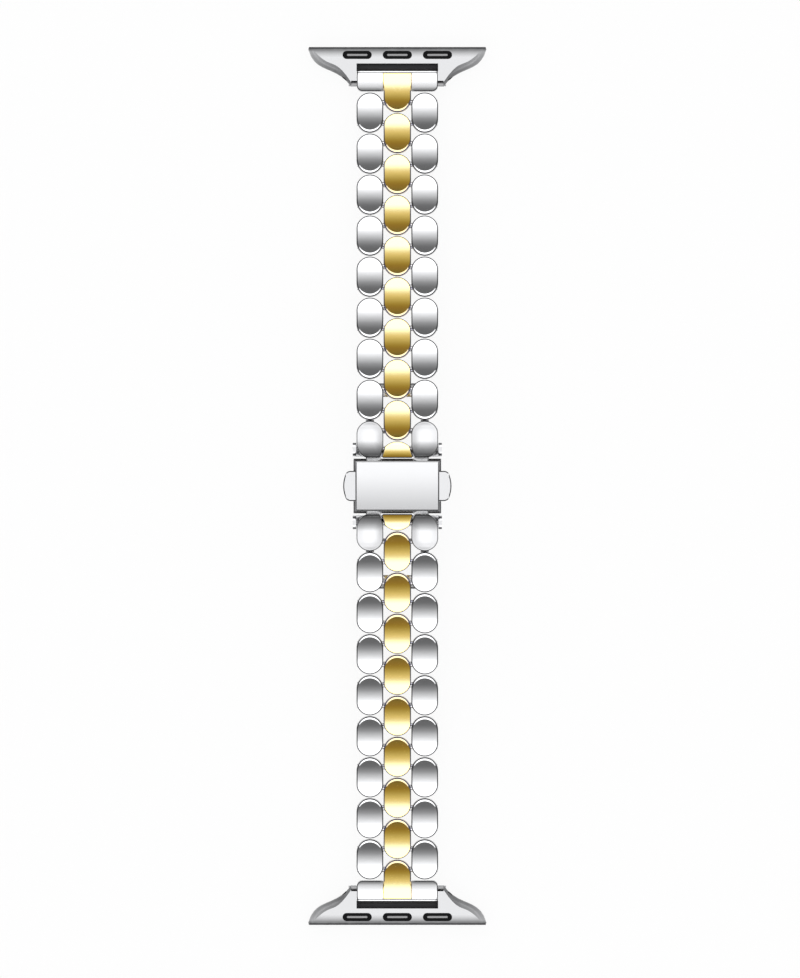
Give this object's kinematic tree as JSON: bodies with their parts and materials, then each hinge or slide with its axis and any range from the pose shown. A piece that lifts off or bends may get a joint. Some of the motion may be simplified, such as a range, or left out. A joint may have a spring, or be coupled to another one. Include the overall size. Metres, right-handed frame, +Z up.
{
  "type": "watch bracelet",
  "caption": "Two-tone metal link bracelet for a smartwatch, with staggered pill links, a folding butterfly clasp with push buttons, and a slide-in watch adapter at each end.",
  "frame": {"origin": "on the table under the middle of the clasp, at the bottom centre of the whole part", "axes": "+Z up, out of the links' outer faces; +Y along the bracelet towards the end of half a; +X across it, with the clasp's right button"},
  "size_m": [0.026, 0.1282, 0.0068],
  "materials": {
    "silver": "polished",
    "gold": "polished",
    "steel": "fine brushed",
    "black": "matte"
  },
  "bodies": {
    "base": {"clasp_base": "steel", "clasp_cover": "silver", "hinge_pins": "steel", "button_springs": "steel"},
    "button_left": {"button_left": "silver"},
    "button_right": {"button_right": "silver"},
    "wing_a": {"wing_a": "steel", "wing_tongue_a": "gold"},
    "row_a1": {"outer_row_a1": "silver"},
    "centre_a1": {"centre_link_a1": "gold"},
    "row_a2": {"outer_row_a2": "silver"},
    "centre_a2": {"centre_link_a2": "gold"},
    "row_a3": {"outer_row_a3": "silver"},
    "centre_a3": {"centre_link_a3": "gold"},
    "row_a4": {"outer_row_a4": "silver"},
    "centre_a4": {"centre_link_a4": "gold"},
    "row_a5": {"outer_row_a5": "silver"},
    "centre_a5": {"centre_link_a5": "gold"},
    "row_a6": {"outer_row_a6": "silver"},
    "centre_a6": {"centre_link_a6": "gold"},
    "row_a7": {"outer_row_a7": "silver"},
    "centre_a7": {"centre_link_a7": "gold"},
    "row_a8": {"outer_row_a8": "silver"},
    "centre_a8": {"centre_link_a8": "gold"},
    "row_a9": {"outer_row_a9": "silver"},
    "end_a": {"end_bar_a": "silver", "end_tongue_a": "gold", "spring_bar_a": "steel"},
    "adapter_a": {"adapter_a": "silver", "slot_rings_a": "black", "side_bars_a": "steel", "latch_spring_a": "steel"},
    "latch_a": {"latch_a": "steel"},
    "wing_b": {"wing_b": "steel", "wing_tongue_b": "gold"},
    "row_b1": {"outer_row_b1": "silver"},
    "centre_b1": {"centre_link_b1": "gold"},
    "row_b2": {"outer_row_b2": "silver"},
    "centre_b2": {"centre_link_b2": "gold"},
    "row_b3": {"outer_row_b3": "silver"},
    "centre_b3": {"centre_link_b3": "gold"},
    "row_b4": {"outer_row_b4": "silver"},
    "centre_b4": {"centre_link_b4": "gold"},
    "row_b5": {"outer_row_b5": "silver"},
    "centre_b5": {"centre_link_b5": "gold"},
    "row_b6": {"outer_row_b6": "silver"},
    "centre_b6": {"centre_link_b6": "gold"},
    "row_b7": {"outer_row_b7": "silver"},
    "centre_b7": {"centre_link_b7": "gold"},
    "row_b8": {"outer_row_b8": "silver"},
    "centre_b8": {"centre_link_b8": "gold"},
    "row_b9": {"outer_row_b9": "silver"},
    "end_b": {"end_bar_b": "silver", "end_tongue_b": "gold", "spring_bar_b": "steel"},
    "adapter_b": {"adapter_b": "silver", "slot_rings_b": "black", "side_bars_b": "steel", "latch_spring_b": "steel"},
    "latch_b": {"latch_b": "steel"}
  },
  "joints": [
    {"name": "button_left_press", "type": "slide", "parent": "base", "child": "button_left", "axis": [1, 0, 0], "range_m": [0, 0.0008], "stiffness_N_per_m": 400, "springref_m": -0.0005, "deforming": ["button_springs"]},
    {"name": "button_right_press", "type": "slide", "parent": "base", "child": "button_right", "axis": [-1, 0, 0], "range_m": [0, 0.0008], "stiffness_N_per_m": 400, "springref_m": -0.0005, "deforming": ["button_springs"]},
    {"name": "wing_a_fold", "type": "hinge", "parent": "base", "child": "wing_a", "pos_m": [0, 0.0142, 0.0008], "axis": [-1, 0, 0], "range_deg": [0, 150]},
    {"name": "link_a0", "type": "hinge", "parent": "wing_a", "child": "row_a1", "pos_m": [0, 0.00535, 0.005], "axis": [1, 0, 0], "range_deg": [-2, 40]},
    {"name": "link_a1", "type": "hinge", "parent": "row_a1", "child": "centre_a1", "pos_m": [0, 0.00804, 0.00483], "axis": [1, 0, 0], "range_deg": [-3, 3]},
    {"name": "link_a2", "type": "hinge", "parent": "centre_a1", "child": "row_a2", "pos_m": [0, 0.01104, 0.00463], "axis": [1, 0, 0], "range_deg": [-3, 3]},
    {"name": "link_a3", "type": "hinge", "parent": "row_a2", "child": "centre_a2", "pos_m": [0, 0.01403, 0.00444], "axis": [1, 0, 0], "range_deg": [-8, 3]},
    {"name": "link_a4", "type": "hinge", "parent": "centre_a2", "child": "row_a3", "pos_m": [0, 0.01702, 0.00424], "axis": [1, 0, 0], "range_deg": [-10, 3]},
    {"name": "link_a5", "type": "hinge", "parent": "row_a3", "child": "centre_a3", "pos_m": [0, 0.02002, 0.00404], "axis": [1, 0, 0], "range_deg": [-10, 3]},
    {"name": "link_a6", "type": "hinge", "parent": "centre_a3", "child": "row_a4", "pos_m": [0, 0.02301, 0.00385], "axis": [1, 0, 0], "range_deg": [-10, 3]},
    {"name": "link_a7", "type": "hinge", "parent": "row_a4", "child": "centre_a4", "pos_m": [0, 0.02601, 0.00365], "axis": [1, 0, 0], "range_deg": [-10, 3]},
    {"name": "link_a8", "type": "hinge", "parent": "centre_a4", "child": "row_a5", "pos_m": [0, 0.029, 0.00346], "axis": [1, 0, 0], "range_deg": [-10, 3]},
    {"name": "link_a9", "type": "hinge", "parent": "row_a5", "child": "centre_a5", "pos_m": [0, 0.03199, 0.00326], "axis": [1, 0, 0], "range_deg": [-10, 3]},
    {"name": "link_a10", "type": "hinge", "parent": "centre_a5", "child": "row_a6", "pos_m": [0, 0.03499, 0.00306], "axis": [1, 0, 0], "range_deg": [-10, 3]},
    {"name": "link_a11", "type": "hinge", "parent": "row_a6", "child": "centre_a6", "pos_m": [0, 0.03798, 0.00287], "axis": [1, 0, 0], "range_deg": [-10, 3]},
    {"name": "link_a12", "type": "hinge", "parent": "centre_a6", "child": "row_a7", "pos_m": [0, 0.04097, 0.00267], "axis": [1, 0, 0], "range_deg": [-10, 3]},
    {"name": "link_a13", "type": "hinge", "parent": "row_a7", "child": "centre_a7", "pos_m": [0, 0.04397, 0.00247], "axis": [1, 0, 0], "range_deg": [-10, 3]},
    {"name": "link_a14", "type": "hinge", "parent": "centre_a7", "child": "row_a8", "pos_m": [0, 0.04696, 0.00228], "axis": [1, 0, 0], "range_deg": [-10, 3]},
    {"name": "link_a15", "type": "hinge", "parent": "row_a8", "child": "centre_a8", "pos_m": [0, 0.04995, 0.00208], "axis": [1, 0, 0], "range_deg": [-10, 3]},
    {"name": "link_a16", "type": "hinge", "parent": "centre_a8", "child": "row_a9", "pos_m": [0, 0.05295, 0.00189], "axis": [1, 0, 0], "range_deg": [-10, 3]},
    {"name": "link_a17", "type": "hinge", "parent": "row_a9", "child": "end_a", "pos_m": [0, 0.05594, 0.00169], "axis": [1, 0, 0], "range_deg": [-10, 3]},
    {"name": "adapter_a_tilt", "type": "hinge", "parent": "end_a", "child": "adapter_a", "pos_m": [0, 0.05874, 0.00151], "axis": [1, 0, 0], "range_deg": [-40, 40]},
    {"name": "latch_a_press", "type": "slide", "parent": "adapter_a", "child": "latch_a", "axis": [0, 0.0653, 0.9979], "range_m": [-0.00045, 0], "stiffness_N_per_m": 200, "springref_m": 0.0004, "deforming": ["latch_spring_a"]},
    {"name": "wing_b_fold", "type": "hinge", "parent": "base", "child": "wing_b", "pos_m": [0, -0.0142, 0.0008], "axis": [1, 0, 0], "range_deg": [0, 150]},
    {"name": "link_b0", "type": "hinge", "parent": "wing_b", "child": "row_b1", "pos_m": [0, -0.00535, 0.005], "axis": [-1, 0, 0], "range_deg": [-2, 40]},
    {"name": "link_b1", "type": "hinge", "parent": "row_b1", "child": "centre_b1", "pos_m": [0, -0.00804, 0.00483], "axis": [-1, 0, 0], "range_deg": [-3, 3]},
    {"name": "link_b2", "type": "hinge", "parent": "centre_b1", "child": "row_b2", "pos_m": [0, -0.01104, 0.00463], "axis": [-1, 0, 0], "range_deg": [-3, 3]},
    {"name": "link_b3", "type": "hinge", "parent": "row_b2", "child": "centre_b2", "pos_m": [0, -0.01403, 0.00444], "axis": [-1, 0, 0], "range_deg": [-8, 3]},
    {"name": "link_b4", "type": "hinge", "parent": "centre_b2", "child": "row_b3", "pos_m": [0, -0.01702, 0.00424], "axis": [-1, 0, 0], "range_deg": [-10, 3]},
    {"name": "link_b5", "type": "hinge", "parent": "row_b3", "child": "centre_b3", "pos_m": [0, -0.02002, 0.00404], "axis": [-1, 0, 0], "range_deg": [-10, 3]},
    {"name": "link_b6", "type": "hinge", "parent": "centre_b3", "child": "row_b4", "pos_m": [0, -0.02301, 0.00385], "axis": [-1, 0, 0], "range_deg": [-10, 3]},
    {"name": "link_b7", "type": "hinge", "parent": "row_b4", "child": "centre_b4", "pos_m": [0, -0.02601, 0.00365], "axis": [-1, 0, 0], "range_deg": [-10, 3]},
    {"name": "link_b8", "type": "hinge", "parent": "centre_b4", "child": "row_b5", "pos_m": [0, -0.029, 0.00346], "axis": [-1, 0, 0], "range_deg": [-10, 3]},
    {"name": "link_b9", "type": "hinge", "parent": "row_b5", "child": "centre_b5", "pos_m": [0, -0.03199, 0.00326], "axis": [-1, 0, 0], "range_deg": [-10, 3]},
    {"name": "link_b10", "type": "hinge", "parent": "centre_b5", "child": "row_b6", "pos_m": [0, -0.03499, 0.00306], "axis": [-1, 0, 0], "range_deg": [-10, 3]},
    {"name": "link_b11", "type": "hinge", "parent": "row_b6", "child": "centre_b6", "pos_m": [0, -0.03798, 0.00287], "axis": [-1, 0, 0], "range_deg": [-10, 3]},
    {"name": "link_b12", "type": "hinge", "parent": "centre_b6", "child": "row_b7", "pos_m": [0, -0.04097, 0.00267], "axis": [-1, 0, 0], "range_deg": [-10, 3]},
    {"name": "link_b13", "type": "hinge", "parent": "row_b7", "child": "centre_b7", "pos_m": [0, -0.04397, 0.00247], "axis": [-1, 0, 0], "range_deg": [-10, 3]},
    {"name": "link_b14", "type": "hinge", "parent": "centre_b7", "child": "row_b8", "pos_m": [0, -0.04696, 0.00228], "axis": [-1, 0, 0], "range_deg": [-10, 3]},
    {"name": "link_b15", "type": "hinge", "parent": "row_b8", "child": "centre_b8", "pos_m": [0, -0.04995, 0.00208], "axis": [-1, 0, 0], "range_deg": [-10, 3]},
    {"name": "link_b16", "type": "hinge", "parent": "centre_b8", "child": "row_b9", "pos_m": [0, -0.05295, 0.00189], "axis": [-1, 0, 0], "range_deg": [-10, 3]},
    {"name": "link_b17", "type": "hinge", "parent": "row_b9", "child": "end_b", "pos_m": [0, -0.05594, 0.00169], "axis": [-1, 0, 0], "range_deg": [-10, 3]},
    {"name": "adapter_b_tilt", "type": "hinge", "parent": "end_b", "child": "adapter_b", "pos_m": [0, -0.05874, 0.00151], "axis": [-1, 0, 0], "range_deg": [-40, 40]},
    {"name": "latch_b_press", "type": "slide", "parent": "adapter_b", "child": "latch_b", "axis": [0, -0.0653, 0.9979], "range_m": [-0.00045, 0], "stiffness_N_per_m": 200, "springref_m": 0.0004, "deforming": ["latch_spring_b"]}
  ]
}
